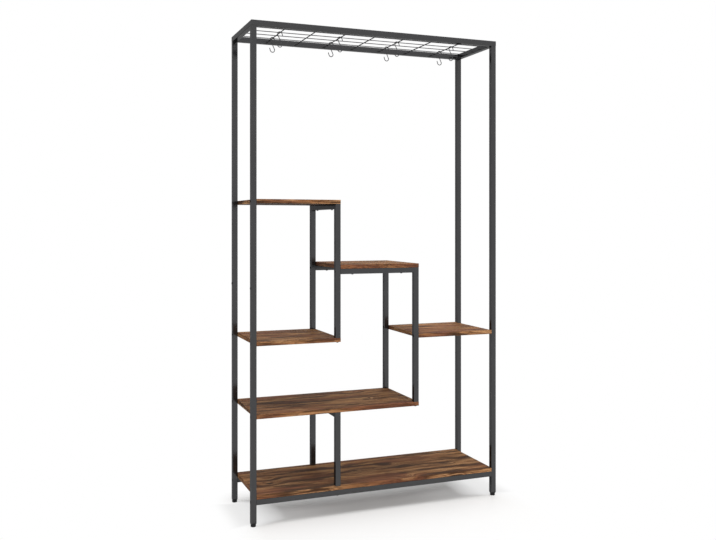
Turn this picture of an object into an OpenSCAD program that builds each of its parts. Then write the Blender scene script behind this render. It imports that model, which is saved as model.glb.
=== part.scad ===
// Tall plant stand: a frame of square steel tube, six wooden shelves at staggered
// heights, a wire grid across the top and two rows of S-hooks that hang from it.
// Millimetres. The origin is on the floor under the middle of the stand. The front
// faces -Y, the left side faces -X and +Z is up.

/* [Stand] */
// Width over the outer posts
stand_w = 1000; // [960:5:1100]
// Depth over the outer posts
stand_d = 310; // [300:5:360]
// Height of the top frame's upper face above the floor
stand_h = 1812; // [1760:1:1900]

/* [Square tube] */
// Outside width of every square tube
tube_w = 20; // [18:0.5:22]
// Wall of the tube
tube_wall = 1.2; // [1:0.1:1.5]
// Outside corner radius of the tube
tube_round = 1.5; // [0.8:0.1:2]

/* [Boards] */
// Thickness of every board
board_t = 15; // [14:0.5:18]
// Bevel along the long edges of a board
board_ease = 0.8; // [0.4:0.1:1.5]

/* [Shelf heights] */
// Upper face of the bottom board
bottom_top = 112; // [100:1:130]
// Upper face of the low board
low_top = 399; // [370:1:430]
// Upper face of the left board and the right board
side_top = 660; // [630:1:690]
// Upper face of the middle board
middle_top = 931; // [910:1:960]
// Upper face of the upper board
upper_top = 1172; // [1140:1:1210]

/* [Columns] */
// From the stand's left face to the middle of the left and low columns
left_column = 330; // [310:1:350]
// From the stand's left face to the middle of the right column
right_column = 650; // [630:1:670]

/* [Top grid] */
// Diameter of the wires that run from front to back
cross_wire_d = 4; // [3:0.5:5]
// Number of wires that run from front to back
cross_wires = 7; // [7:1:9]
// Diameter of the wires that run from side to side
long_wire_d = 3; // [2:0.5:4]
// Number of wires that run from side to side
long_wires = 5; // [3:2:5]
// Distance between the wires that run from side to side
long_pitch = 55.4; // [50:0.2:60]
// How far the wires from front to back lie below the middle of the top frame
grid_down = 2; // [0:0.5:4]

/* [S-hooks] */
// Diameter of the hook's wire
hook_wire = 3; // [2.5:0.1:3.5]
// Bend radius of both loops, at the middle of the wire
hook_bend = 8.5; // [7.5:0.1:10]
// Straight stretch of wire between the two loops
hook_stem = 37; // [30:1:45]
// Bend radius of both open tips
hook_tip_bend = 45; // [30:1:80]
// How far each tip turns back towards the stem, in degrees
hook_tip_turn = 15; // [10:1:20]
// From the long wire ahead of the front hooks to those hooks
front_hook_back = 19; // [8:1:40]
// From the long wire ahead of the rear hooks to those hooks
rear_hook_back = 10; // [8:1:40]

/* [Feet] */
// Diameter of a foot's pad
foot_d = 19.5; // [16:0.5:22]
// Height of a foot's pad
foot_h = 9; // [7:0.5:12]
// Rounding of the pad's edges
foot_round = 1.5; // [1:0.25:3]
// Diameter of the foot's screw
foot_screw_d = 6; // [5:0.5:8]
// Length of the foot's screw above the pad
foot_screw_len = 18; // [16:1:24]
// Height of the plug's lip below the post
plug_lip = 5; // [4:0.5:7]
// Radius of the lip's turned lower edge
lip_end_r = 10.7; // [10.2:0.1:11.5]
// Length of the plug inside the post
plug_len = 15; // [12:1:22]

/* [Post seam] */
// Height of the seam between a lower and an upper post
seam_z = 840; // [760:5:900]
// Length of the sleeve inside the seam
sleeve_len = 100; // [80:5:120]
// Wall of the sleeve
sleeve_wall = 1.5; // [1.2:0.1:2]
// Height of the locking screw above the seam
lock_up = 12; // [10:1:20]
// Diameter of the locking screw
lock_d = 5; // [4:0.5:6]
// Diameter of the locking screw's head
lock_head_d = 9; // [8:0.5:10]
// Height of the locking screw's head
lock_head_h = 2.2; // [1.5:0.1:3]
// Length of the locking screw under its head
lock_len = 7; // [6:0.5:9]

/* [Bolts] */
// Diameter of the frame bolts
bolt_d = 6; // [5:0.5:7]
// Diameter of a bolt's head
bolt_head_d = 10; // [9:0.5:11]
// Height of a bolt's head
bolt_head_h = 6; // [4:0.5:7]
// Hole in the outer wall through which a bolt's head goes in
access_d = 11.5; // [11.2:0.1:12.5]
// Length of bolt past the wall that it clamps
bolt_reach = 22; // [18:1:24]
// Diameter of the threaded insert in a board's end
insert_d = 9; // [8.5:0.5:10]
// Length of the threaded insert
insert_len = 25; // [24:1:32]
// Length of the threaded block in the end of a rail or column
nut_len = 24; // [24:1:32]
// Across flats of the hexagon socket in every head
socket_af = 4; // [3:0.5:5]
// Depth of the hexagon socket
socket_deep = 1.6; // [1.2:0.1:2]

/* [Board screws] */
// Diameter of a board screw
screw_d = 4; // [3.5:0.25:5]
// Diameter of a board screw's head
screw_head_d = 8; // [7.5:0.5:9]
// Height of a board screw's head
screw_head_h = 2.4; // [2.2:0.1:3]
// How deep a board screw bites into its board
screw_bite = 10; // [8:0.5:12]
// Distance of the outer screws from the ends of a long rail
rail_screw_in = 60; // [40:5:90]
// Distance of the screws from the ends of a middle rail or a side rail
side_screw_in = 50; // [40:5:80]

/* [Fits] */
// Radial play between a thread and the hole that it is screwed into
thread_fit = 0.05; // [0.02:0.01:0.1]
// Radial play of a bolt or screw in a plain hole
hole_fit = 0.25; // [0.15:0.05:0.4]
// Gap between a tube's inside and what slides into it
slip_fit = 0.1; // [0.05:0.01:0.2]
// Gap between the wires of the two layers, where they are welded
weld_gap = 0.05; // [0.02:0.01:0.1]
// Gap between a hook and the wire that it hangs on
hang_gap = 0.3; // [0.2:0.05:0.5]

/* [Hidden] */
$fn = 48;

// How far a cutting shape reaches past the face that it cuts
over = 1;

// Outline of the stand
half_w = stand_w / 2;
half_d = stand_d / 2;
post_x = half_w - tube_w / 2;
post_y = half_d - tube_w / 2;
inner_w = stand_w - 2 * tube_w;
inner_d = stand_d - 2 * tube_w;
post_foot_z = foot_h + plug_lip;
frame_z = stand_h - tube_w;
frame_mid = frame_z + tube_w / 2;

// Inside of a tube, and the plugs and sleeves that slide into it
tube_in = tube_w - 2 * tube_wall;
plug_w = tube_in - 2 * slip_fit;
sleeve_in = plug_w - 2 * sleeve_wall;

// Middles of the columns; the left and low columns stand in one line
left_x = left_column - half_w;
right_x = right_column - half_w;

// Undersides of the boards, and the middles of what is bolted to a post or column
low_under = low_top - board_t;
bottom_rail_z = bottom_top - board_t - tube_w / 2;
middle_rail_z = middle_top - board_t - tube_w / 2;
low_mid = low_top - board_t / 2;
side_mid = side_top - board_t / 2;
upper_mid = upper_top - board_t / 2;

// Heights of the bolts through a left post and a right post
left_bolts = [bottom_rail_z, low_mid, side_mid, upper_mid];
right_bolts = [bottom_rail_z, side_mid];

// Bolts through the columns: place of the clamped face, direction, height
column_side_bolts = [
    [left_x + tube_w / 2, 1, middle_rail_z],
    [right_x - tube_w / 2, -1, middle_rail_z],
    [right_x + tube_w / 2, 1, side_mid]
];

// Bolts up into the columns: place, face that the column stands on, what they pass
column_foot_bolts = [
    [left_x, side_top, board_t],
    [right_x, low_top, board_t],
    [left_x, bottom_top, board_t + tube_w]
];

// Rails with screws up into a board: underside of the board and the screws' places
long_rail_screws = [-inner_w / 2 + rail_screw_in, 0, inner_w / 2 - rail_screw_in];
middle_rail_screws = [left_x + tube_w / 2 + side_screw_in, right_x - tube_w / 2 - side_screw_in];
side_rail_screws = [-inner_d / 2 + side_screw_in, inner_d / 2 - side_screw_in];

// The grid lies in the top frame, with the long wires welded under the cross wires
cross_z = frame_mid - grid_down;
long_z = cross_z - (cross_wire_d + long_wire_d) / 2 - weld_gap;
cross_pitch = inner_w / (cross_wires + 1);

// The hooks hang on every second cross wire, in a front and a rear row
front_hook_y = -long_pitch + front_hook_back;
rear_hook_y = long_pitch + rear_hook_back;
hook_span = sqrt(hook_stem * hook_stem + 4 * hook_bend * hook_bend);
hook_lean = atan(2 * hook_bend / hook_stem);
hook_z = cross_z + cross_wire_d / 2 + hang_gap + hook_wire / 2 - hook_bend - hook_span / 2;

steel = "#3a3a3c";
bright_steel = "#9a9b9d";
dark_steel = "#4c4c4e";
wood = "#7d5b43";
plastic = "#1c1c1d";

function cross_x(i) = -inner_w / 2 + i * cross_pitch;

// Shared shapes

// Square with true round corners
module rounded_square(w, r) {
    square([w - 2 * r, w], center = true);
    square([w, w - 2 * r], center = true);
    for (sx = [-1, 1], sy = [-1, 1])
        translate([sx * (w / 2 - r), sy * (w / 2 - r)]) circle(r);
}

// Square tube along +Z
module tube(len) {
    difference() {
        linear_extrude(len) rounded_square(tube_w, tube_round);
        translate([-tube_in / 2, -tube_in / 2, -over]) cube([tube_in, tube_in, len + 2 * over]);
    }
}

// Square tube along +X, and along +Y
module tube_x(len) rotate([90, 0, 90]) tube(len);
module tube_y(len) rotate([-90, 0, 0]) tube(len);

// Square tube along X about its middle, mitred so that the side towards -Y is the long one
module mitred_tube(len) {
    difference() {
        translate([-len / 2, 0, 0]) tube_x(len);
        for (s = [-1, 1])
            translate([s * len / 2, -tube_w / 2, 0]) rotate([0, 0, 90 - s * 45])
                translate([0, -2 * tube_w, -tube_w]) cube([4 * tube_w, 4 * tube_w, 2 * tube_w]);
    }
}

// Turns local +Z towards +X or -X
module point_x(dir) rotate([0, dir * 90, 0]) children();

// Hexagon socket in the end face of a head, cut downwards from z = 0
module socket() translate([0, 0, -socket_deep])
    cylinder(d = socket_af / cos(30), h = socket_deep + over, $fn = 6);

// Way for a frame bolt: the clamped face is z = 0 and the tube lies below it
module bolt_way() {
    translate([0, 0, -tube_wall - over])
        cylinder(d = bolt_d + 2 * hole_fit, h = tube_wall + 2 * over);
    translate([0, 0, -tube_w - over]) cylinder(d = access_d, h = tube_wall + 2 * over);
}

// Frame bolt with a cheese head inside the tube
module side_bolt() {
    translate([0, 0, -tube_wall]) cylinder(d = bolt_d, h = tube_wall + bolt_reach);
    translate([0, 0, -tube_wall]) mirror([0, 0, 1]) difference() {
        cylinder(d = bolt_head_d, h = bolt_head_h);
        translate([0, 0, bolt_head_h]) socket();
    }
}

// Low domed head below z = 0, for a screw or bolt that points up
module domed_head(d, h) {
    mirror([0, 0, 1]) difference() {
        union() {
            cylinder(d = d, h = h * 0.4);
            translate([0, 0, h * 0.4]) cylinder(d1 = d, d2 = d * 0.7, h = h * 0.6);
        }
        translate([0, 0, h]) socket();
    }
}

// Every place where a bolt goes sideways into a board's end
module at_board_ends() {
    for (sy = [-1, 1]) {
        for (z = [low_mid, side_mid, upper_mid])
            translate([-inner_w / 2, sy * post_y, z]) point_x(1) children();
        translate([inner_w / 2, sy * post_y, side_mid]) point_x(-1) children();
        translate([right_x + tube_w / 2, sy * post_y, side_mid]) point_x(1) children();
    }
}

// Every place where a bolt goes sideways into a rail's end
module at_rail_ends() {
    for (sy = [-1, 1]) {
        for (s = [-1, 1])
            translate([s * inner_w / 2, sy * post_y, bottom_rail_z]) point_x(-s) children();
        translate([left_x + tube_w / 2, sy * post_y, middle_rail_z]) point_x(1) children();
        translate([right_x - tube_w / 2, sy * post_y, middle_rail_z]) point_x(-1) children();
    }
}

// Posts, columns and rails

// Outer post from z0 to z1, with its bolt holes in the side walls
module post(sx, sy, z0, z1) {
    color(steel) difference() {
        translate([sx * post_x, sy * post_y, z0]) tube(z1 - z0);
        for (z = sx < 0 ? left_bolts : right_bolts)
            translate([sx * inner_w / 2, sy * post_y, z]) point_x(-sx) bolt_way();
        translate([sx * half_w, sy * post_y, seam_z + lock_up]) point_x(-sx)
            translate([0, 0, -over]) cylinder(d = lock_d + 2 * hole_fit, h = tube_wall + 2 * over);
    }
}

module lower_post(sx, sy) post(sx, sy, post_foot_z, seam_z);
module upper_post(sx, sy) post(sx, sy, seam_z, frame_z);

module top_rail(turn, len, out) {
    color(steel) rotate([0, 0, turn]) translate([0, -out, frame_mid]) mitred_tube(len);
}

// Hole through both walls of a rail for a screw that points up
module rail_screw_hole() {
    translate([0, 0, -tube_w / 2 - over])
        cylinder(d = screw_d + 2 * hole_fit, h = tube_w + 2 * over);
}

module bottom_rail(sy) {
    color(steel) difference() {
        translate([-inner_w / 2, sy * post_y, bottom_rail_z]) tube_x(inner_w);
        for (x = long_rail_screws) translate([x, sy * post_y, bottom_rail_z]) rail_screw_hole();
        translate([left_x, sy * post_y, bottom_rail_z - tube_w / 2 - over])
            cylinder(d = bolt_d + 2 * hole_fit, h = tube_w + 2 * over);
    }
}

module middle_rail(sy) {
    color(steel) difference() {
        translate([left_x + tube_w / 2, sy * post_y, middle_rail_z])
            tube_x(right_x - left_x - tube_w);
        for (x = middle_rail_screws)
            translate([x, sy * post_y, middle_rail_z]) rail_screw_hole();
    }
}

// Column that stands on the board at z0 and carries the board whose underside is z1
module column(x, sy, z0, z1) {
    color(steel) difference() {
        translate([x, sy * post_y, z0]) tube(z1 - z0);
        for (b = column_side_bolts)
            if (abs(b[0] - b[1] * tube_w / 2 - x) < over)
                translate([b[0], sy * post_y, b[2]]) point_x(b[1]) bolt_way();
    }
}

module low_column(sy) column(left_x, sy, bottom_top, low_under);
module left_column_tube(sy) column(left_x, sy, side_top, upper_top - board_t);
module right_column_tube(sy) column(right_x, sy, low_top, middle_top - board_t);

// Rail from front to back between the tops of a pair of columns
module side_rail(x, top) {
    color(steel) difference() {
        translate([x, -inner_d / 2, top - tube_w / 2]) tube_y(inner_d);
        for (y = side_rail_screws) translate([x, y, top - tube_w / 2]) rail_screw_hole();
    }
}

// Top grid

module grid_cross_wires() {
    color(steel) for (i = [1 : cross_wires])
        translate([cross_x(i), -inner_d / 2, cross_z]) rotate([-90, 0, 0])
            cylinder(d = cross_wire_d, h = inner_d);
}

module grid_long_wires() {
    color(steel) for (j = [0 : long_wires - 1])
        translate([-inner_w / 2, (j - (long_wires - 1) / 2) * long_pitch, long_z])
            rotate([0, 90, 0]) cylinder(d = long_wire_d, h = inner_w);
}

// Boards

// Plain board with bevelled long edges, as deep as the stand
module blank(x0, x1, top) {
    translate([x0, 0, top - board_t]) rotate([90, 0, 90]) linear_extrude(x1 - x0)
        polygon([
            [-half_d + board_ease, 0], [half_d - board_ease, 0],
            [half_d, board_ease], [half_d, board_t - board_ease],
            [half_d - board_ease, board_t], [-half_d + board_ease, board_t],
            [-half_d, board_t - board_ease], [-half_d, board_ease]
        ]);
}

// Board with every hole that lies in it
module board(x0, x1, top) {
    color(wood) difference() {
        blank(x0, x1, top);
        at_board_ends() translate([0, 0, -over])
            cylinder(d = insert_d + 2 * thread_fit, h = insert_len + over);
        for (b = column_foot_bolts, sy = [-1, 1])
            if (abs(b[1] - top) < over)
                translate([b[0], sy * post_y, top - board_t - over])
                    cylinder(d = bolt_d + 2 * hole_fit, h = board_t + 2 * over);
        at_board_screws() pilot_hole();
    }
}

module bottom_board() board(-inner_w / 2, inner_w / 2, bottom_top);
module low_board() board(-inner_w / 2, right_x + tube_w / 2, low_top);
module left_board() board(-inner_w / 2, left_x + tube_w / 2, side_top);
module right_board() board(right_x + tube_w / 2, inner_w / 2, side_top);
module middle_board() board(left_x + tube_w / 2, right_x + tube_w / 2, middle_top);
module upper_board() board(-inner_w / 2, left_x + tube_w / 2, upper_top);

// Feet and S-hooks

module foot(sx, sy) {
    color(plastic) translate([sx * post_x, sy * post_y, 0]) {
        rotate_extrude() {
            square([foot_d / 2 - foot_round, foot_h]);
            translate([0, foot_round]) square([foot_d / 2, foot_h - 2 * foot_round]);
            for (z = [foot_round, foot_h - foot_round])
                translate([foot_d / 2 - foot_round, z]) circle(foot_round);
        }
        translate([0, 0, foot_h]) cylinder(d = foot_screw_d, h = foot_screw_len);
    }
}

// Round wire bent about the origin in the XZ plane, from +X towards +Z
module bent_wire(r, turn) {
    rotate([90, 0, 0]) rotate_extrude(angle = turn) translate([r, 0]) circle(d = hook_wire);
}

// S-hook on the cross wire at place i, in the row at y; its stem leans until the
// middles of both loops lie straight below the wire
module s_hook(i, y) {
    color(dark_steel) translate([cross_x(i), y, hook_z]) rotate([0, -hook_lean, 0]) {
        translate([0, 0, -hook_stem / 2]) cylinder(d = hook_wire, h = hook_stem);
        for (turn = [0, 180])
            rotate([0, turn, 0]) translate([hook_bend, 0, hook_stem / 2]) {
                bent_wire(hook_bend, 180);
                translate([hook_bend - hook_tip_bend, 0, 0]) mirror([0, 0, 1])
                    bent_wire(hook_tip_bend, hook_tip_turn);
            }
    }
}

// Plugs, sleeves and fasteners

module foot_plugs() {
    color(plastic) for (sx = [-1, 1], sy = [-1, 1])
        translate([sx * post_x, sy * post_y, foot_h]) difference() {
            union() {
                intersection() {
                    linear_extrude(plug_lip) rounded_square(tube_w, tube_round);
                    cylinder(r1 = lip_end_r, r2 = tube_w * sqrt(2) / 2, h = plug_lip);
                }
                translate([-plug_w / 2, -plug_w / 2, plug_lip]) cube([plug_w, plug_w, plug_len]);
            }
            translate([0, 0, -over])
                cylinder(d = foot_screw_d + 2 * thread_fit, h = plug_lip + plug_len + 2 * over);
        }
}

module post_sleeves() {
    color(steel) for (sx = [-1, 1], sy = [-1, 1])
        translate([sx * post_x, sy * post_y, seam_z]) difference() {
            translate([-plug_w / 2, -plug_w / 2, -sleeve_len / 2])
                cube([plug_w, plug_w, sleeve_len]);
            translate([-sleeve_in / 2, -sleeve_in / 2, -sleeve_len / 2 - over])
                cube([sleeve_in, sleeve_in, sleeve_len + 2 * over]);
            translate([sx * tube_w / 2, 0, lock_up]) point_x(-sx)
                cylinder(d = lock_d + 2 * thread_fit, h = tube_w / 2);
        }
}

module post_lock_screws() {
    color(steel) for (sx = [-1, 1], sy = [-1, 1])
        translate([sx * half_w, sy * post_y, seam_z + lock_up]) point_x(-sx) {
            domed_head(lock_head_d, lock_head_h);
            cylinder(d = lock_d, h = lock_len);
        }
}

module frame_corner_pins() {
    color(steel) for (sx = [-1, 1], sy = [-1, 1])
        translate([sx * post_x - plug_w / 2, sy * post_y - plug_w / 2, frame_z - plug_len])
            cube([plug_w, plug_w, plug_len]);
}

module side_bolts() {
    color(steel) {
        at_board_ends() side_bolt();
        at_rail_ends() side_bolt();
    }
}

module board_inserts() {
    color(bright_steel) at_board_ends() difference() {
        cylinder(d = insert_d, h = insert_len);
        translate([0, 0, -over])
            cylinder(d = bolt_d + 2 * thread_fit, h = insert_len + 2 * over);
    }
}

// Threaded block that fills the end of a tube from z = 0 upwards
module nut_block() {
    difference() {
        translate([-plug_w / 2, -plug_w / 2, 0]) cube([plug_w, plug_w, nut_len]);
        translate([0, 0, -over]) cylinder(d = bolt_d + 2 * thread_fit, h = nut_len + 2 * over);
    }
}

module rail_nuts() color(bright_steel) at_rail_ends() nut_block();

module column_nuts() {
    color(bright_steel) for (b = column_foot_bolts, sy = [-1, 1])
        translate([b[0], sy * post_y, b[1]]) nut_block();
}

module column_bolts() {
    color(steel) for (b = column_foot_bolts, sy = [-1, 1])
        translate([b[0], sy * post_y, b[1] - b[2]]) {
            domed_head(bolt_head_d, bolt_head_h / 2);
            cylinder(d = bolt_d, h = b[2] + bolt_reach);
        }
}

// Every board screw, with z = 0 at the underside of its board
module at_board_screws() {
    for (sy = [-1, 1]) {
        for (x = long_rail_screws)
            translate([x, sy * post_y, bottom_top - board_t]) children();
        for (x = middle_rail_screws)
            translate([x, sy * post_y, middle_top - board_t]) children();
    }
    for (y = side_rail_screws) {
        translate([left_x, y, low_under]) children();
        translate([left_x, y, upper_top - board_t]) children();
        translate([right_x, y, middle_top - board_t]) children();
    }
}

module pilot_hole() translate([0, 0, -over])
    cylinder(d = screw_d + 2 * thread_fit, h = screw_bite + 2 * over);

module board_screws() {
    color(steel) at_board_screws() {
        cylinder(d = screw_d, h = screw_bite);
        translate([0, 0, -tube_w]) {
            domed_head(screw_head_d, screw_head_h);
            cylinder(d = screw_d, h = tube_w);
        }
    }
}

lower_post(-1, -1);  // lower_post_front_left
lower_post(1, -1);  // lower_post_front_right
lower_post(-1, 1);  // lower_post_rear_left
lower_post(1, 1);  // lower_post_rear_right
upper_post(-1, -1);  // upper_post_front_left
upper_post(1, -1);  // upper_post_front_right
upper_post(-1, 1);  // upper_post_rear_left
upper_post(1, 1);  // upper_post_rear_right
top_rail(0, stand_w, post_y);  // top_rail_front
top_rail(180, stand_w, post_y);  // top_rail_rear
top_rail(-90, stand_d, post_x);  // top_rail_left
top_rail(90, stand_d, post_x);  // top_rail_right
grid_cross_wires();
grid_long_wires();
bottom_rail(-1);  // bottom_rail_front
bottom_rail(1);  // bottom_rail_rear
middle_rail(-1);  // middle_rail_front
middle_rail(1);  // middle_rail_rear
low_column(-1);  // low_column_front
low_column(1);  // low_column_rear
left_column_tube(-1);  // left_column_front
left_column_tube(1);  // left_column_rear
right_column_tube(-1);  // right_column_front
right_column_tube(1);  // right_column_rear
side_rail(left_x, low_under);  // low_side_rail
side_rail(left_x, upper_top - board_t);  // left_side_rail
side_rail(right_x, middle_top - board_t);  // right_side_rail
bottom_board();
low_board();
left_board();
right_board();
middle_board();
upper_board();
foot(-1, -1);  // foot_front_left
foot(1, -1);  // foot_front_right
foot(-1, 1);  // foot_rear_left
foot(1, 1);  // foot_rear_right
s_hook(1, front_hook_y);  // s_hook_front_1
s_hook(3, front_hook_y);  // s_hook_front_2
s_hook(5, front_hook_y);  // s_hook_front_3
s_hook(7, front_hook_y);  // s_hook_front_4
s_hook(1, rear_hook_y);  // s_hook_rear_1
s_hook(3, rear_hook_y);  // s_hook_rear_2
s_hook(5, rear_hook_y);  // s_hook_rear_3
s_hook(7, rear_hook_y);  // s_hook_rear_4
foot_plugs();
post_sleeves();
post_lock_screws();
frame_corner_pins();
side_bolts();
board_inserts();
rail_nuts();
column_bolts();
column_nuts();
board_screws();
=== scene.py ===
import math
import random

import bmesh
import bpy
from mathutils import Matrix, Vector


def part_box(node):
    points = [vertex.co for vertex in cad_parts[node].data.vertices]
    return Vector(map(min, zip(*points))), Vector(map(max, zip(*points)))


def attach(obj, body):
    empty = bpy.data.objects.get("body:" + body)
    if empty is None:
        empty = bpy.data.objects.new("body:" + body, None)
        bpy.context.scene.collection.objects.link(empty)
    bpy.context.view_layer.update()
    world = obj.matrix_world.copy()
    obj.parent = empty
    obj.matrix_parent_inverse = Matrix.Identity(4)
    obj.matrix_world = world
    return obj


# Looks of a tall plant stand: black powder-coated square tube, rustic brown boards,
# a welded wire grid on top with dark-plated S-hooks on it, and black plastic feet.
# Metres, in the stand's own frame: the floor is z = 0 and the front faces -Y.

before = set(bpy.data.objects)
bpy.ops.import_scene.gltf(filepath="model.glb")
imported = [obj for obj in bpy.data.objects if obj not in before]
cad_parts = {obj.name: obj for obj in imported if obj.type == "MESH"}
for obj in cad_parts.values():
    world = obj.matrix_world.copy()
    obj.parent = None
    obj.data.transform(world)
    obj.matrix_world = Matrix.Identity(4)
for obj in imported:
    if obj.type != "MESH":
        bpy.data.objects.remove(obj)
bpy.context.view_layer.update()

# Camera: where it stood, which way it looked, and its lens
CAMERA_PLACE = Vector((-1.252, -3.115, 1.079))
CAMERA_TURN = math.radians(21.41)
FOCAL_PIXELS = 850.5
HORIZON_ROW = 224.9
PHOTO_WIDTH = 716
PHOTO_HEIGHT = 540
SENSOR_WIDTH = 36.0
NEAREST_SEEN = 0.05
FARTHEST_SEEN = 100.0

# Colours as a painter would mix them, 0 to 255
COAT_BLACK = (72, 72, 73)
COAT_WORN = (104, 103, 101)
DUST = (150, 144, 134)
WOOD_PALE = (206, 158, 112)
WOOD_MID = (160, 110, 71)
WOOD_DARK = (69, 47, 33)
WOOD_RED = (136, 85, 65)
WOOD_KNOT = (36, 25, 19)
WOOD_EDGE = (62, 44, 33)
# Painted shade laid on the boards' undersides
WOOD_UNDERSIDE_SHADE = (58, 44, 36)
ZINC = (176, 177, 179)
ZINC_DULL = (128, 129, 131)
WIRE_GREY = (84, 84, 86)
WIRE_DULL = (58, 58, 60)
PLASTIC_BLACK = (14, 14, 15)
FLOOR_PALE = (253, 251, 249)
WHITE = (1, 1, 1, 1)

# How much of the black coat is metallic sheen, and how much of it is left at the rim
COAT_SHEEN = 0.88
COAT_RIM = 0.38

# How strongly each finish shines where it isn't metal
COAT_GLOSS = 0.2
BOARD_GLOSS = 0.06
PLASTIC_GLOSS = 0.25
FLOOR_GLOSS = 0.1
FLOOR_ROUGHNESS = 0.5

# Roughness of each finish, how far it swings from place to place, and how fine the smears are
COAT_MARKS = {"Roughness": 0.13, "Spread": 0.06, "Smear_Scale": 12.0}
BOARD_MARKS = {"Roughness": 0.66, "Spread": 0.24, "Smear_Scale": 9.0}
PLATE_MARKS = {"Roughness": 0.34, "Spread": 0.2, "Smear_Scale": 60.0}
PLASTIC_MARKS = {"Roughness": 0.42, "Spread": 0.3, "Smear_Scale": 80.0}

# How high the relief of each finish stands
COAT_RELIEF = 0.0001
BOARD_RELIEF = 0.0004
PLATE_RELIEF = 0.00005

# Rustic grain: how long and how wide one step of each kind of mark is
KNOT_STEP = (0.17, 0.09, 0.09)
WANDER_STEP = (0.5, 0.06, 0.06)
RING_STEP = (0.5, 0.020, 0.020)
SMOKE_STEP = (0.24, 0.026, 0.026)
CLOUD_STEP = (0.30, 0.070, 0.070)
STREAK_STEP = (0.16, 0.0050, 0.0050)
FIBRE_STEP = (0.035, 0.0010, 0.0010)
PORE_STEP = (0.012, 0.0006, 0.0006)
SAW_MARK_STEP = (0.0022, 0.05, 0.05)
PUSH_BY_KNOT = 0.03
RING_WANDER = 0.10
EDGE_BAND_DARK = 0.14
# How far the boards' undersides are darkened: painted shade
UNDERSIDE_SHADE_LEVEL = 0.85

# Where in the figure each board is cut from, and how strong its knots are
BOARDS = {
    "bottom_board": ((0.00, 0.00, 0.00), 1.0),
    "low_board": ((3.37, 0.61, 1.13), 0.8),
    "left_board": ((5.91, 1.27, 2.41), 0.9),
    "right_board": ((7.73, 2.89, 0.77), 1.0),
    "middle_board": ((9.19, 3.53, 1.91), 0.7),
    "upper_board": ((11.57, 4.17, 2.83), 0.9),
}
ZINC_PIECES = ("board_inserts", "rail_nuts", "column_nuts")
BLACK_PIECES = ("side_bolts", "column_bolts", "board_screws", "post_lock_screws")

# Wires of the grid: from front to back, and from side to side
CROSS_WIRES = 7
LONG_WIRES = 5

# Weld collar round a wire: how far its outline stands off the wire and climbs along it
COLLAR_OUTLINE = (
    (-0.0002, 0.0),
    (0.0013, 0.0),
    (0.0007, 0.00035),
    (0.0002, 0.0011),
    (-0.0002, 0.0011),
)
COLLAR_STEPS = 16
COLLAR_LUMPS = (-0.18, 0.25)

# Weld nugget where two wires cross
NUGGET_RADIUS = 0.0017
NUGGET_SIZES = (0.85, 1.15)
NUGGET_WIDTHS = (0.8, 1.0)
NUGGET_SQUASH = 0.42

# Rippled weld fillet in a corner
FILLET_LEG = 0.0028
FILLET_RIPPLE = 0.0016
FILLET_RIPPLE_DEPTH = 0.10
FILLET_STEPS_PER_RIPPLE = 4
FILLET_LEAST_STEPS = 8
FILLET_SIZES = (0.96, 1.04)
FILLET_TIP = 0.35
FILLET_SWELL = 6
FILLET_HOLLOW = 0.22
FILLET_SPANS = 5
FILLET_BITE = 0.0003
FILLET_MARGIN = 0.0015
WELD_SEED = 7

# Studio lamps: the level that a white face turned to them gets, how wide they spread, how
# far down from overhead they stand, and how far round from the front, in degrees
LAMPS = {
    "overhead_softbox": (0.63, 50, 6, -20),
    "front_softbox": (0.80, 40, 72, 6),
    "side_softbox": (0.24, 70, 88, -80),
    "back_softbox": (0.45, 8, 88, 145),
}
ROOM_LIGHT = 0.12
FLOOR_BOUNCE = 0.38
FLOOR_HALF = 30.0

# Shadow on the floor: its half sizes where it is full, and how far out from there a painted white
# glow laid over it fades it out
SHADOW_MIDDLE = 0.01
SHADOW_HALF_WIDTH = 0.35
SHADOW_HALF_AT_EDGE = 0.47
SHADOW_HALF_DEPTH = 0.12
FADE_BY_ENDS = 0.105
FADE_BY_FRONT = 0.45
FADE_BY_BACK = 0.16
FADE_EASE = 0.6

# By the feet the floor isn't white yet: the painted glow there lets some real shadow through and
# is itself grey, painted shade. From where to where it turns, along and across
FEET_TO_ENDS = (0.50, 0.61)
FEET_TO_EDGES = (0.10, 0.16)
GLOW_SHARE_BY_FEET = 0.85
PAINTED_GREY_BY_FEET = 0.86

# The full shadow is lightened towards both ends and towards the back by painted glow, painted
# light
WEAKER_TO_ENDS = (0.08, 0.40)
PAINTED_LIGHT_AT_ENDS = 0.18
WEAKER_TO_BACK = (-0.05, 0.09)
PAINTED_LIGHT_AT_BACK = 0.34

# Kinds of socket on a shader group
FLOAT = "NodeSocketFloat"
COLOUR = "NodeSocketColor"
VECTOR = "NodeSocketVector"


def linear(colour):
    """A 0 to 255 colour as the linear light that the shaders work in."""
    parts = [value / 255 for value in colour]
    light = [part / 12.92 if part <= 0.04045 else ((part + 0.055) / 1.055) ** 2.4
             for part in parts]
    return (*light, 1.0)


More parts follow.
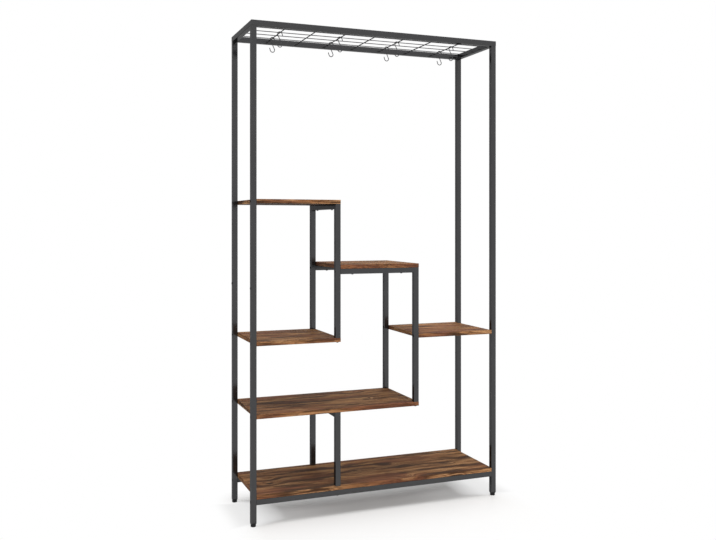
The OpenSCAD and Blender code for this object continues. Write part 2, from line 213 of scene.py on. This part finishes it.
class Shading:
    """Adds nodes to one material, world or shader group, and joins them."""

    def __init__(self, tree):
        self.tree = tree

    def add(self, kind, feeds=None, **settings):
        """A new node with its settings, each named socket fed by another socket or a value."""
        made = self.tree.nodes.new(kind)
        for name, value in settings.items():
            setattr(made, name, value)
        for socket, value in (feeds or {}).items():
            if isinstance(value, bpy.types.NodeSocket):
                self.join(value, made.inputs[socket])
            else:
                made.inputs[socket].default_value = value
        return made

    def join(self, source, target):
        self.tree.links.new(source, target)

    def math(self, operation, first, second=0.0, clamp=False):
        feeds = {0: first, 1: second}
        return self.add("ShaderNodeMath", feeds, operation=operation, use_clamp=clamp).outputs[0]

    def vector(self, operation, first, second=(0.0, 0.0, 0.0)):
        feeds = {0: first, 1: second}
        return self.add("ShaderNodeVectorMath", feeds, operation=operation).outputs[0]

    def split(self, vector):
        """The X, Y and Z of a vector."""
        return self.add("ShaderNodeSeparateXYZ", {0: vector}).outputs

    def vector_of(self, x=0.0, y=0.0, z=0.0):
        """A vector of three values."""
        return self.add("ShaderNodeCombineXYZ", {0: x, 1: y, 2: z}).outputs[0]

    def grey(self, level):
        """A colour with the same level in red, green and blue."""
        return self.add("ShaderNodeCombineColor", {0: level, 1: level, 2: level}).outputs[0]

    def ramp(self, value, low, high, to_low=0.0, to_high=1.0):
        """value from low to high, eased into to_low to to_high."""
        feeds = {
            "Value": value,
            "From Min": low,
            "From Max": high,
            "To Min": to_low,
            "To Max": to_high,
        }
        return self.add("ShaderNodeMapRange", feeds, interpolation_type="SMOOTHSTEP").outputs[0]

    def blend(self, amount, first, second, way="MIX"):
        """first, with that amount of second laid over it."""
        feeds = {0: amount, 6: first, 7: second}
        return self.add("ShaderNodeMix", feeds, data_type="RGBA", blend_type=way).outputs[2]

    def noise(self, place, scale, detail=3.0, roughness=0.5, distortion=0.0):
        feeds = {
            "Vector": place,
            "Scale": scale,
            "Detail": detail,
            "Roughness": roughness,
            "Distortion": distortion,
        }
        return self.add("ShaderNodeTexNoise", feeds).outputs[0]

    def cells(self, place, scale):
        """Packed cells, each with its own Color, and the Distance from its middle."""
        return self.add("ShaderNodeTexVoronoi", {"Vector": place, "Scale": scale}).outputs

    def chance(self, cells):
        """A value from 0 to 1 for each cell, which differs from one to the next."""
        return self.add("ShaderNodeSeparateColor", {0: cells["Color"]}).outputs[0]

    def stepped(self, place, step):
        """place measured in steps of that size, for marks that are longer one way."""
        return self.vector("DIVIDE", place, step)


def shader_group(name, inputs, outputs):
    """A new shader group with its sockets, and the ends to wire it between."""
    group = bpy.data.node_groups.new(name, "ShaderNodeTree")
    for label, kind, value in inputs:
        socket = group.interface.new_socket(name=label, in_out="INPUT", socket_type=kind)
        socket.default_value = value
    for label, kind in outputs:
        group.interface.new_socket(name=label, in_out="OUTPUT", socket_type=kind)
    shading = Shading(group)
    given = shading.add("NodeGroupInput").outputs
    result = shading.add("NodeGroupOutput").inputs
    return group, shading, given, result


def make_corner_rub():
    """Mask of the rounded corners of square tube and board, where hands and boxes rub."""
    inputs = [("Amount", FLOAT, 0.5), ("Patch Scale", FLOAT, 40.0)]
    group, s, given, result = shader_group("corner_rub", inputs, [("Mask", FLOAT)])
    where = s.add("ShaderNodeTexCoord").outputs
    facing = s.split(s.vector("ABSOLUTE", where["Normal"]))
    flattest = s.math("MAXIMUM", s.math("MAXIMUM", facing[0], facing[1]), facing[2])
    corner = s.ramp(flattest, 0.985, 0.86)
    patches = s.ramp(s.noise(where["Object"], given["Patch Scale"], 5.0, 0.65), 0.42, 0.7)
    worn = s.math("MULTIPLY", s.math("MULTIPLY", corner, patches), given["Amount"], clamp=True)
    s.join(worn, result["Mask"])
    return group


def make_settled_dust():
    """Mask of the faces that look up, where a little dust lies."""
    inputs = [("Amount", FLOAT, 0.2), ("Patch Scale", FLOAT, 18.0)]
    group, s, given, result = shader_group("settled_dust", inputs, [("Mask", FLOAT)])
    where = s.add("ShaderNodeTexCoord").outputs
    up = s.split(where["Normal"])[2]
    clouds = s.ramp(s.noise(where["Object"], given["Patch Scale"], 6.0, 0.6), 0.3, 0.75)
    lying = s.math("MULTIPLY", s.ramp(up, 0.7, 1.0), clouds)
    s.join(s.math("MULTIPLY", lying, given["Amount"], clamp=True), result["Mask"])
    return group


def make_handling_marks():
    """Roughness of a surface that has been touched: soft smears over fine haze."""
    inputs = [("Roughness", FLOAT, 0.5), ("Spread", FLOAT, 0.1), ("Smear Scale", FLOAT, 14.0)]
    group, s, given, result = shader_group("handling_marks", inputs, [("Roughness", FLOAT)])
    place = s.add("ShaderNodeTexCoord").outputs["Object"]
    smears = s.noise(place, given["Smear Scale"], 5.0, 0.6, 0.6)
    haze = s.noise(place, 260.0, 2.0, 0.5)
    both = s.math("ADD", s.math("MULTIPLY", smears, 0.7), s.math("MULTIPLY", haze, 0.3))
    swing = s.math("MULTIPLY", s.math("SUBTRACT", both, 0.5), given["Spread"])
    s.join(s.math("ADD", given["Roughness"], swing, clamp=True), result["Roughness"])
    return group


def make_coat_grain():
    """Powder coat and moulded plastic: fine bumps, and a slow drift in tone."""
    inputs = [("Grain Scale", FLOAT, 900.0), ("Drift", FLOAT, 0.3)]
    outputs = [("Height", FLOAT), ("Tone", FLOAT)]
    group, s, given, result = shader_group("coat_grain", inputs, outputs)
    place = s.add("ShaderNodeTexCoord").outputs["Object"]
    peel = s.noise(place, given["Grain Scale"], 2.0, 0.55)
    pip_scale = s.math("MULTIPLY", given["Grain Scale"], 1.7)
    pips = s.cells(place, pip_scale)["Distance"]
    height = s.math("ADD", s.math("MULTIPLY", peel, 0.7), s.math("MULTIPLY", pips, 0.3))
    drift = s.noise(place, 6.0, 4.0, 0.6)
    speck = s.noise(place, given["Grain Scale"], 1.0, 0.5)
    tone = s.math("ADD", s.math("MULTIPLY", drift, 0.75), s.math("MULTIPLY", speck, 0.25))
    swing = s.math("MULTIPLY", s.math("SUBTRACT", tone, 0.5), given["Drift"])
    s.join(height, result["Height"])
    s.join(s.math("ADD", swing, 1.0), result["Tone"])
    return group


def make_rustic_grain():
    """Rustic board: long figure, smoky patches, knots and pores that all run along X.

    On the ends of a board the figure is turned, because the edge band's grain runs
    along the edge.
    """
    inputs = [
        ("Shift", VECTOR, (0.0, 0.0, 0.0)),
        ("Pale", COLOUR, linear(WOOD_PALE)),
        ("Mid", COLOUR, linear(WOOD_MID)),
        ("Dark", COLOUR, linear(WOOD_DARK)),
        ("Red", COLOUR, linear(WOOD_RED)),
        ("Knots", FLOAT, 1.0),
    ]
    outputs = [("Color", COLOUR), ("Height", FLOAT), ("Pores", FLOAT)]
    group, s, given, result = shader_group("rustic_grain", inputs, outputs)
    where = s.add("ShaderNodeTexCoord").outputs
    on_end = s.math("GREATER_THAN", s.math("ABSOLUTE", s.split(where["Normal"])[0]), 0.8)
    xyz = s.split(where["Object"])
    turned = s.vector_of(xyz[1], xyz[0], xyz[2])
    ways = {0: on_end, 4: where["Object"], 5: turned}
    along = s.add("ShaderNodeMix", ways, data_type="VECTOR").outputs[1]
    place = s.vector("ADD", along, given["Shift"])

    # Knots, and how they push the figure aside
    cells = s.cells(s.stepped(place, KNOT_STEP), 1.0)
    has_knot = s.ramp(s.chance(cells), 0.45, 0.5)
    near = s.math("MULTIPLY", s.ramp(cells["Distance"], 0.45, 0.05), has_knot)
    knot = s.math("MULTIPLY", s.ramp(cells["Distance"], 0.11, 0.05), has_knot)
    knot = s.math("MULTIPLY", knot, given["Knots"])
    bent = s.vector("ADD", place, s.vector_of(y=s.math("MULTIPLY", near, PUSH_BY_KNOT)))

    # Growth rings that wander across the board
    wander = s.noise(s.stepped(bent, WANDER_STEP), 1.0, 3.0, 0.5)
    wander = s.vector_of(y=s.math("MULTIPLY", wander, RING_WANDER))
    ring_place = s.stepped(s.vector("ADD", bent, wander), RING_STEP)
    ring_feeds = {
        "Vector": ring_place,
        "Scale": 1.0,
        "Distortion": 2.2,
        "Detail": 3.0,
        "Detail Scale": 1.4,
        "Detail Roughness": 0.6,
    }
    rings = s.add("ShaderNodeTexWave", ring_feeds, wave_type="BANDS", bands_direction="Y",
                  wave_profile="SAW").outputs[1]

    smoke = s.noise(s.stepped(bent, SMOKE_STEP), 1.0, 6.0, 0.66, 0.2)
    clouds = s.noise(s.stepped(place, CLOUD_STEP), 1.0, 3.0, 0.5, 0.2)
    streaks = s.noise(s.stepped(bent, STREAK_STEP), 1.0, 4.0, 0.62)
    fibres = s.noise(s.stepped(bent, FIBRE_STEP), 1.0, 3.0, 0.6)
    pores = s.ramp(s.noise(s.stepped(bent, PORE_STEP), 1.0, 2.0, 0.5), 0.62, 0.74)
    sawn = s.noise(s.stepped(place, SAW_MARK_STEP), 1.0, 2.0, 0.5)

    # From the body of the wood to its pale streaks, then each kind of dark mark
    body = s.blend(s.ramp(smoke, 0.42, 0.56), given["Dark"], given["Mid"])
    body = s.blend(s.math("MULTIPLY", s.ramp(clouds, 0.50, 0.62), 0.55), body, given["Red"])
    light = s.math("MULTIPLY", s.ramp(streaks, 0.44, 0.60), s.ramp(clouds, 0.56, 0.42))
    light = s.math("MULTIPLY", light, s.ramp(smoke, 0.40, 0.52))
    light = s.math("MAXIMUM", light, s.math("MULTIPLY", s.ramp(smoke, 0.55, 0.66), 0.9))
    body = s.blend(light, body, given["Pale"])
    body = s.blend(s.math("MULTIPLY", s.ramp(rings, 0.50, 0.98), 0.50), body, given["Dark"])
    body = s.blend(s.ramp(streaks, 0.52, 0.36, 0.0, 0.55), body, given["Dark"])
    body = s.blend(s.ramp(fibres, 0.35, 0.75, 0.0, 0.28), body, given["Dark"])
    body = s.blend(s.ramp(sawn, 0.60, 0.78, 0.0, 0.16), body, given["Pale"])
    body = s.blend(s.math("MULTIPLY", pores, 0.45), body, given["Dark"])
    body = s.blend(s.math("MULTIPLY", near, 0.35), body, given["Dark"])
    body = s.blend(knot, body, linear(WOOD_KNOT))

    relief = s.math("ADD", s.math("MULTIPLY", fibres, 0.35), s.math("MULTIPLY", streaks, 0.35))
    relief = s.math("SUBTRACT", relief, s.math("MULTIPLY", pores, 0.5))
    relief = s.math("SUBTRACT", relief, s.math("MULTIPLY", knot, 0.3))
    relief = s.math("SUBTRACT", relief, s.math("MULTIPLY", s.ramp(rings, 0.8, 1.0), 0.25))
    s.join(body, result["Color"])
    s.join(relief, result["Height"])
    s.join(pores, result["Pores"])
    return group


def make_plating_spangle():
    """Plated steel: small crystals and dull clouds, over a fine drawn roughness."""
    inputs = [("Crystal Scale", FLOAT, 420.0)]
    outputs = [("Dullness", FLOAT), ("Height", FLOAT)]
    group, s, given, result = shader_group("plating_spangle", inputs, outputs)
    place = s.add("ShaderNodeTexCoord").outputs["Object"]
    tone = s.chance(s.cells(place, given["Crystal Scale"]))
    clouds = s.ramp(s.noise(place, 90.0, 4.0, 0.6), 0.35, 0.7)
    dull = s.math("ADD", s.math("MULTIPLY", tone, 0.35), s.math("MULTIPLY", clouds, 0.65))
    s.join(dull, result["Dullness"])
    s.join(s.noise(place, 1500.0, 2.0, 0.5), result["Height"])
    return group


CORNER_RUB = make_corner_rub()
SETTLED_DUST = make_settled_dust()
HANDLING_MARKS = make_handling_marks()
COAT_GRAIN = make_coat_grain()
RUSTIC_GRAIN = make_rustic_grain()
PLATING_SPANGLE = make_plating_spangle()


def placed(s, group, **values):
    """The outputs of a shader group put into a material, with its own values."""
    made = s.add("ShaderNodeGroup", node_tree=group)
    for name, value in values.items():
        made.inputs[name.replace("_", " ")].default_value = value
    return made.outputs


def emptied(holder):
    """The shading of a new material or world, with nothing in it yet."""
    holder.use_nodes = True
    holder.node_tree.nodes.clear()
    return Shading(holder.node_tree)


def new_finish(name, gloss):
    """A material with its surface shader, whose fixed values are in gloss."""
    finish = bpy.data.materials.new(name)
    s = emptied(finish)
    surface = s.add("ShaderNodeBsdfPrincipled", gloss)
    s.add("ShaderNodeOutputMaterial", {"Surface": surface.outputs[0]})
    return finish, s, surface


def set_relief(s, surface, height, strength, distance):
    """Bumps on a surface from a height that is 0 to 1 over that distance."""
    feeds = {"Height": height, "Strength": strength, "Distance": distance}
    s.join(s.add("ShaderNodeBump", feeds).outputs[0], surface.inputs["Normal"])


def powder_coat(name, grain_scale=900.0, rub=0.5, dust=0.12, relief=0.25):
    """Black powder coat with a metallic sheen, rubbed a little on its corners.

    It is nearly all sheen: it mirrors what is round it softly and darkly, from any side
    about as much, so that a board or another tube beside it shows in it as black.
    """
    rim = (COAT_RIM, COAT_RIM, COAT_RIM, 1)
    gloss = {"Specular IOR Level": COAT_GLOSS, "Specular Tint": rim}
    finish, s, surface = new_finish(name, gloss)
    grain = placed(s, COAT_GRAIN, Grain_Scale=grain_scale, Drift=0.35)
    worn = placed(s, CORNER_RUB, Amount=rub, Patch_Scale=34.0)["Mask"]
    dusty = placed(s, SETTLED_DUST, Amount=dust, Patch_Scale=22.0)["Mask"]
    marks = placed(s, HANDLING_MARKS, **COAT_MARKS)
    colour = s.blend(1.0, linear(COAT_BLACK), s.grey(grain["Tone"]), "MULTIPLY")
    colour = s.blend(worn, colour, linear(COAT_WORN))
    colour = s.blend(dusty, colour, linear(DUST))
    rough = s.math("SUBTRACT", marks["Roughness"], s.math("MULTIPLY", worn, 0.15))
    rough = s.math("ADD", rough, s.math("MULTIPLY", dusty, 0.5), clamp=True)
    sheen = s.math("MULTIPLY", s.math("SUBTRACT", 1.0, dusty), COAT_SHEEN)
    s.join(colour, surface.inputs["Base Color"])
    s.join(rough, surface.inputs["Roughness"])
    s.join(sheen, surface.inputs["Metallic"])
    set_relief(s, surface, grain["Height"], relief, COAT_RELIEF)
    return finish


def rustic_board(name, shift, knots):
    """Rustic brown board with its own stretch of figure, and an underside darkened with painted
    shade.
    """
    finish, s, surface = new_finish(name, {"Specular IOR Level": BOARD_GLOSS})
    grain = placed(s, RUSTIC_GRAIN, Shift=shift, Knots=knots)
    worn = placed(s, CORNER_RUB, Amount=0.8, Patch_Scale=26.0)["Mask"]
    dusty = placed(s, SETTLED_DUST, Amount=0.03, Patch_Scale=9.0)["Mask"]
    facing = s.split(s.add("ShaderNodeTexCoord").outputs["Normal"])
    band = s.ramp(s.math("ABSOLUTE", facing[1]), 0.85, 0.95, 0.0, EDGE_BAND_DARK)
    # Faces that look down get painted shade
    back = s.ramp(facing[2], -0.85, -0.95, 0.0, UNDERSIDE_SHADE_LEVEL)
    marks = placed(s, HANDLING_MARKS, **BOARD_MARKS)
    colour = s.blend(band, grain["Color"], linear(WOOD_DARK))
    colour = s.blend(back, colour, linear(WOOD_UNDERSIDE_SHADE))
    colour = s.blend(worn, colour, linear(WOOD_EDGE))
    colour = s.blend(dusty, colour, linear(DUST))
    open_pores = s.math("MULTIPLY", grain["Pores"], 0.15)
    rough = s.math("ADD", marks["Roughness"], open_pores, clamp=True)
    s.join(colour, surface.inputs["Base Color"])
    s.join(rough, surface.inputs["Roughness"])
    set_relief(s, surface, grain["Height"], 0.55, BOARD_RELIEF)
    return finish


def plated_steel(name, bright, dull, crystal_scale=420.0):
    """Plated drawn wire and small turned parts, from bright patches to dull ones."""
    finish, s, surface = new_finish(name, {"Metallic": 1.0})
    plate = placed(s, PLATING_SPANGLE, Crystal_Scale=crystal_scale)
    marks = placed(s, HANDLING_MARKS, **PLATE_MARKS)
    colour = s.blend(plate["Dullness"], linear(bright), linear(dull))
    duller = s.math("MULTIPLY", plate["Dullness"], 0.12)
    rough = s.math("ADD", marks["Roughness"], duller, clamp=True)
    s.join(colour, surface.inputs["Base Color"])
    s.join(rough, surface.inputs["Roughness"])
    set_relief(s, surface, plate["Height"], 0.2, PLATE_RELIEF)
    return finish


def moulded_plastic(name, grain_scale=1300.0):
    """Black moulded plastic with a fine spark-eroded texture, scuffed and dusty."""
    finish, s, surface = new_finish(name, {"Specular IOR Level": PLASTIC_GLOSS})
    grain = placed(s, COAT_GRAIN, Grain_Scale=grain_scale, Drift=0.5)
    dusty = placed(s, SETTLED_DUST, Amount=0.10, Patch_Scale=60.0)["Mask"]
    marks = placed(s, HANDLING_MARKS, **PLASTIC_MARKS)
    colour = s.blend(1.0, linear(PLASTIC_BLACK), s.grey(grain["Tone"]), "MULTIPLY")
    colour = s.blend(dusty, colour, linear(DUST))
    s.join(colour, surface.inputs["Base Color"])
    s.join(marks["Roughness"], surface.inputs["Roughness"])
    set_relief(s, surface, grain["Height"], 0.3, COAT_RELIEF)
    return finish


def dress(node, finish):
    """Gives a CAD piece its finish."""
    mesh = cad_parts[node].data
    mesh.materials.clear()
    mesh.materials.append(finish)


def dress_all():
    """Every CAD piece gets the finish of what it is made of."""
    tube = powder_coat("powder_coated_tube", rub=0.55)
    rail = powder_coat("powder_coated_rail", grain_scale=820.0, rub=0.4)
    wire = powder_coat("powder_coated_wire", grain_scale=1100.0, rub=0.0, dust=0.06)
    hardware = powder_coat("blackened_hardware", grain_scale=1500.0, rub=0.0, dust=0.03,
                           relief=0.12)
    hook = plated_steel("dark_plated_wire", WIRE_GREY, WIRE_DULL)
    turned = plated_steel("zinc_plated_hardware", ZINC, ZINC_DULL, crystal_scale=900.0)
    foot = moulded_plastic("moulded_foot_plastic")
    plug = moulded_plastic("moulded_plug_plastic", grain_scale=1000.0)
    for node, (shift, knots) in BOARDS.items():
        dress(node, rustic_board(f"rustic_{node}", shift, knots))
    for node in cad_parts:
        if node in BOARDS:
            continue
        if node.startswith("s_hook"):
            dress(node, hook)
        elif node in ZINC_PIECES:
            dress(node, turned)
        elif node == "foot_plugs":
            dress(node, plug)
        elif node.startswith("foot_"):
            dress(node, foot)
        elif node in BLACK_PIECES:
            dress(node, hardware)
        elif node.startswith("grid_"):
            dress(node, wire)
        elif "post" in node or "column" in node:
            dress(node, tube)
        else:
            dress(node, rail)


def new_piece(name, shape, finish, body="frame"):
    """A new piece of the stand from a bmesh, with its finish, riding on a body."""
    bmesh.ops.recalc_face_normals(shape, faces=shape.faces)
    mesh = bpy.data.meshes.new(name)
    shape.to_mesh(mesh)
    shape.free()
    mesh.materials.append(finish)
    mesh.shade_smooth()
    piece = bpy.data.objects.new(name, mesh)
    bpy.context.scene.collection.objects.link(piece)
    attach(piece, body)
    return piece


def order_faces(shape):
    """Puts the faces in the order of their corners, the same in each run."""
    shape.verts.index_update()
    count = len(shape.verts)

    def rank(face):
        first, second, third = sorted(corner.index for corner in face.verts)[:3]
        return (first * count + second) * count + third

    shape.faces.sort(key=rank)


def add_closed_strip(shape, rings):
    """Skins a row of rings of points, each closed, and closes both ends."""
    rows = [[shape.verts.new(point) for point in ring] for ring in rings]
    count = len(rows[0])
    for first, second in zip(rows, rows[1:]):
        for i in range(count):
            j = (i + 1) % count
            shape.faces.new((first[i], first[j], second[j], second[i]))
    shape.faces.new(rows[0])
    shape.faces.new(rows[-1])


def add_collar(shape, rng, root, out, radius):
    """Weld collar round a wire where it meets a face. out leads away along the wire."""
    side = out.orthogonal().normalized()
    across = out.cross(side)
    lumps = [1 + rng.uniform(*COLLAR_LUMPS) for _ in range(COLLAR_STEPS)]
    rings = []
    for i in range(COLLAR_STEPS):
        angle = 2 * math.pi * i / COLLAR_STEPS
        spoke = side * math.cos(angle) + across * math.sin(angle)
        ring = []
        for width, rise in COLLAR_OUTLINE:
            reach = radius + (width * lumps[i] if width > 0 else width)
            ring.append(root + spoke * reach + out * rise * lumps[i])
        rings.append([shape.verts.new(point) for point in ring])
    count = len(COLLAR_OUTLINE)
    for i in range(COLLAR_STEPS):
        here, there = rings[i], rings[(i + 1) % COLLAR_STEPS]
        for j in range(count):
            k = (j + 1) % count
            shape.faces.new((here[j], here[k], there[k], there[j]))


def wire_rows(node, count, axis):
    """The middles of evenly spaced wires along an axis, their radius and their height."""
    low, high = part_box(node)
    radius = (high.z - low.z) / 2
    first = low[axis] + radius
    step = (high[axis] - low[axis] - 2 * radius) / (count - 1)
    return [first + i * step for i in range(count)], radius, (low.z + high.z) / 2


def grid_weld_beads(finish):
    """Collars where the grid's wires meet the top frame, and a nugget at each crossing."""
    rng = random.Random(WELD_SEED)
    shape = bmesh.new()
    cross_x, cross_radius, cross_z = wire_rows("grid_cross_wires", CROSS_WIRES, 0)
    long_y, long_radius, long_z = wire_rows("grid_long_wires", LONG_WIRES, 1)
    low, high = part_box("grid_cross_wires")
    for x in cross_x:
        add_collar(shape, rng, Vector((x, low.y, cross_z)), Vector((0, 1, 0)), cross_radius)
        add_collar(shape, rng, Vector((x, high.y, cross_z)), Vector((0, -1, 0)), cross_radius)
    low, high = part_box("grid_long_wires")
    for y in long_y:
        add_collar(shape, rng, Vector((low.x, y, long_z)), Vector((1, 0, 0)), long_radius)
        add_collar(shape, rng, Vector((high.x, y, long_z)), Vector((-1, 0, 0)), long_radius)
    seam_z = (cross_z - cross_radius + long_z + long_radius) / 2
    for x in cross_x:
        for y in long_y:
            size = rng.uniform(*NUGGET_SIZES)
            width = size * rng.uniform(*NUGGET_WIDTHS)
            squash = Matrix.Diagonal((size, width, NUGGET_SQUASH, 1))
            place = Matrix.Translation((x, y, seam_z)) @ squash
            bmesh.ops.create_uvsphere(
                shape, u_segments=12, v_segments=8, radius=NUGGET_RADIUS, matrix=place)
    order_faces(shape)
    return new_piece("grid_weld_beads", shape, finish)


def add_fillet(shape, rng, start, end, leg_a, leg_b):
    """Rippled weld fillet from start to end in the corner that leg_a and leg_b span."""
    run = end - start
    ripples = round(run.length / FILLET_RIPPLE)
    steps = max(FILLET_LEAST_STEPS, ripples * FILLET_STEPS_PER_RIPPLE)
    rings = []
    for i in range(steps + 1):
        t = i / steps
        wave = math.sin(t * run.length / FILLET_RIPPLE * 2 * math.pi)
        ripple = 1 + FILLET_RIPPLE_DEPTH * wave
        taper = min(1.0, FILLET_TIP + FILLET_SWELL * min(t, 1 - t))
        size = FILLET_LEG * taper * ripple * rng.uniform(*FILLET_SIZES)
        middle = start + run * t
        ring = [middle - (leg_a + leg_b) * FILLET_BITE]
        for k in range(FILLET_SPANS + 1):
            angle = math.pi / 2 * k / FILLET_SPANS
            bow = 1 - FILLET_HOLLOW * math.sin(2 * angle)
            ring.append(middle + (leg_a * math.cos(angle) + leg_b * math.sin(angle)) * size * bow)
        rings.append(ring)
    add_closed_strip(shape, rings)


def side_rail_weld_beads(finish):
    """Fillets under the side rails, where they are welded between their columns."""
    rng = random.Random(WELD_SEED + 1)
    shape = bmesh.new()
    margin = Vector((FILLET_MARGIN, 0, 0))
    for node in ("low_side_rail", "left_side_rail", "right_side_rail"):
        low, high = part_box(node)
        for y, inwards in ((low.y, 1), (high.y, -1)):
            start = Vector((low.x, y, low.z)) + margin
            end = Vector((high.x, y, low.z)) - margin
            add_fillet(shape, rng, start, end, Vector((0, inwards, 0)), Vector((0, 0, -1)))
    return new_piece("side_rail_weld_beads", shape, finish)


def top_frame_weld_beads(finish):
    """Upright fillets in the inner corners of the top frame."""
    rng = random.Random(WELD_SEED + 2)
    shape = bmesh.new()
    left_low, left_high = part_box("top_rail_left")
    right_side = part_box("top_rail_right")[0].x
    front_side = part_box("top_rail_front")[1].y
    rear_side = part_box("top_rail_rear")[0].y
    for x, to_middle in ((left_high.x, 1), (right_side, -1)):
        for y, inwards in ((front_side, 1), (rear_side, -1)):
            start = Vector((x, y, left_low.z + FILLET_MARGIN))
            end = Vector((x, y, left_high.z - FILLET_MARGIN))
            add_fillet(shape, rng, start, end, Vector((to_middle, 0, 0)), Vector((0, inwards, 0)))
    return new_piece("top_frame_weld_beads", shape, finish)


def set_camera():
    """A level camera at the photo's place, its horizon moved up by the lens's shift."""
    lens = bpy.data.cameras.new("stand_camera")
    lens.sensor_width = SENSOR_WIDTH
    lens.lens = FOCAL_PIXELS / PHOTO_WIDTH * SENSOR_WIDTH
    lens.shift_y = (HORIZON_ROW - PHOTO_HEIGHT / 2) / PHOTO_WIDTH
    lens.clip_start = NEAREST_SEEN
    lens.clip_end = FARTHEST_SEEN
    camera = bpy.data.objects.new("stand_camera", lens)
    camera.location = CAMERA_PLACE
    camera.rotation_euler = (math.pi / 2, 0, -CAMERA_TURN)
    bpy.context.scene.collection.objects.link(camera)
    bpy.context.scene.camera = camera


def soft_lamp(name, level, spread, tilt, turn):
    """A wide far lamp. It lights, and the sheen shows the white room in its place."""
    lamp = bpy.data.lights.new(name, "SUN")
    lamp.energy = level * math.pi
    lamp.angle = math.radians(spread)
    holder = bpy.data.objects.new(name, lamp)
    holder.rotation_euler = (math.radians(tilt), 0, math.radians(turn))
    holder.visible_glossy = False
    bpy.context.scene.collection.objects.link(holder)


def seen_by(s, *rays):
    """1 where the ray is of one of those kinds."""
    path = s.add("ShaderNodeLightPath").outputs
    total = path[rays[0]]
    for ray in rays[1:]:
        total = s.math("MAXIMUM", total, path[ray])
    return total


def set_room():
    """White behind the stand, and a weak even light from all round."""
    world = bpy.data.worlds.new("white_room")
    s = emptied(world)
    looked_at = seen_by(s, "Is Camera Ray", "Is Glossy Ray", "Is Transmission Ray")
    strength = s.ramp(looked_at, 0.0, 1.0, ROOM_LIGHT, 1.0)
    back = s.add("ShaderNodeBackground", {"Color": WHITE, "Strength": strength})
    s.add("ShaderNodeOutputWorld", {"Surface": back.outputs[0]})
    bpy.context.scene.world = world


def painted_floor_glow(s, place):
    """How much painted white glow lies over the lit floor, 0 under the stand and 1 a little way
    out, and how bright that glow is there: grey by the feet, as painted shade, and white further
    out. The glow is painted light that shapes the edges of the stand's shadow."""
    xyz = s.split(place)
    sideways = s.math("ABSOLUTE", s.math("SUBTRACT", xyz[0], SHADOW_MIDDLE))
    depth = s.math("ABSOLUTE", xyz[1])
    half_width = s.ramp(depth, *FEET_TO_EDGES, SHADOW_HALF_WIDTH, SHADOW_HALF_AT_EDGE)
    past_end = s.math("SUBTRACT", sideways, half_width)
    past_end = s.math("DIVIDE", s.math("MAXIMUM", past_end, 0.0), FADE_BY_ENDS)
    ahead = s.math("SUBTRACT", s.math("MULTIPLY", xyz[1], -1.0), SHADOW_HALF_DEPTH)
    ahead = s.math("DIVIDE", s.math("MAXIMUM", ahead, 0.0), FADE_BY_FRONT)
    behind = s.math("SUBTRACT", xyz[1], SHADOW_HALF_DEPTH)
    behind = s.math("DIVIDE", s.math("MAXIMUM", behind, 0.0), FADE_BY_BACK)
    reach = s.vector_of(past_end, ahead, behind)
    reach = s.add("ShaderNodeVectorMath", {0: reach}, operation="LENGTH").outputs["Value"]
    painted_glow_share = s.math("POWER", s.math("MINIMUM", reach, 1.0), FADE_EASE)
    away = s.math("MAXIMUM", s.ramp(sideways, *FEET_TO_ENDS), s.ramp(depth, *FEET_TO_EDGES))
    # Painted glow held back by the feet, and painted light over the full shadow towards the ends
    # and the back
    painted_glow_share = s.math("MULTIPLY", painted_glow_share, s.ramp(away, 0.0, 1.0, GLOW_SHARE_BY_FEET, 1.0))
    painted_glow_share = s.math("MAXIMUM", painted_glow_share, s.ramp(sideways, *WEAKER_TO_ENDS, 0.0, PAINTED_LIGHT_AT_ENDS))
    painted_glow_share = s.math("MAXIMUM", painted_glow_share, s.ramp(xyz[1], *WEAKER_TO_BACK, 0.0, PAINTED_LIGHT_AT_BACK))
    return painted_glow_share, s.ramp(away, 0.0, 1.0, PAINTED_GREY_BY_FEET, 1.0)


def floor_finish():
    """Pale floor that keeps the stand's shadow and turns to plain white further out, with painted
    glow over the shadow's edges and painted grey shade by the feet.
    """
    finish = bpy.data.materials.new("pale_floor")
    s = emptied(finish)
    place = s.add("ShaderNodeTexCoord").outputs["Object"]
    looked_at = seen_by(s, "Is Camera Ray", "Is Glossy Ray")
    mottle = s.ramp(s.noise(place, 3.0, 3.0, 0.5), 0.2, 0.8, 0.98, 1.0)
    pale = s.blend(1.0, linear(FLOOR_PALE), s.grey(mottle), "MULTIPLY")
    bounce = (FLOOR_BOUNCE, FLOOR_BOUNCE, FLOOR_BOUNCE, 1)
    lit = s.add("ShaderNodeBsdfPrincipled", {
        "Base Color": s.blend(looked_at, bounce, pale),
        "Roughness": FLOOR_ROUGHNESS,
        "Specular IOR Level": FLOOR_GLOSS,
    })
    painted_glow_share, painted_glow_level = painted_floor_glow(s, place)
    # Glow laid over the lit floor: painted light at the shadow's edges, painted grey shade by the
    # feet
    glow = s.add("ShaderNodeEmission", {"Color": WHITE, "Strength": painted_glow_level})
    out = s.math("MULTIPLY", painted_glow_share, looked_at)
    surface = s.add("ShaderNodeMixShader", {0: out, 1: lit.outputs[0], 2: glow.outputs[0]})
    s.add("ShaderNodeOutputMaterial", {"Surface": surface.outputs[0]})
    return finish


def set_floor():
    """A wide flat floor under the stand, which isn't part of it."""
    shape = bmesh.new()
    bmesh.ops.create_grid(shape, x_segments=8, y_segments=8, size=FLOOR_HALF)
    mesh = bpy.data.meshes.new("studio_floor")
    shape.to_mesh(mesh)
    shape.free()
    mesh.materials.append(floor_finish())
    floor = bpy.data.objects.new("studio_floor", mesh)
    bpy.context.scene.collection.objects.link(floor)


dress_all()
bead_coat = powder_coat("powder_coated_weld", grain_scale=1400.0, rub=0.0, dust=0.05)
grid_weld_beads(bead_coat)
side_rail_weld_beads(bead_coat)
top_frame_weld_beads(bead_coat)

set_camera()
set_room()
for lamp_name, settings in LAMPS.items():
    soft_lamp(lamp_name, *settings)
set_floor()
bpy.context.scene.view_settings.view_transform = "Standard"
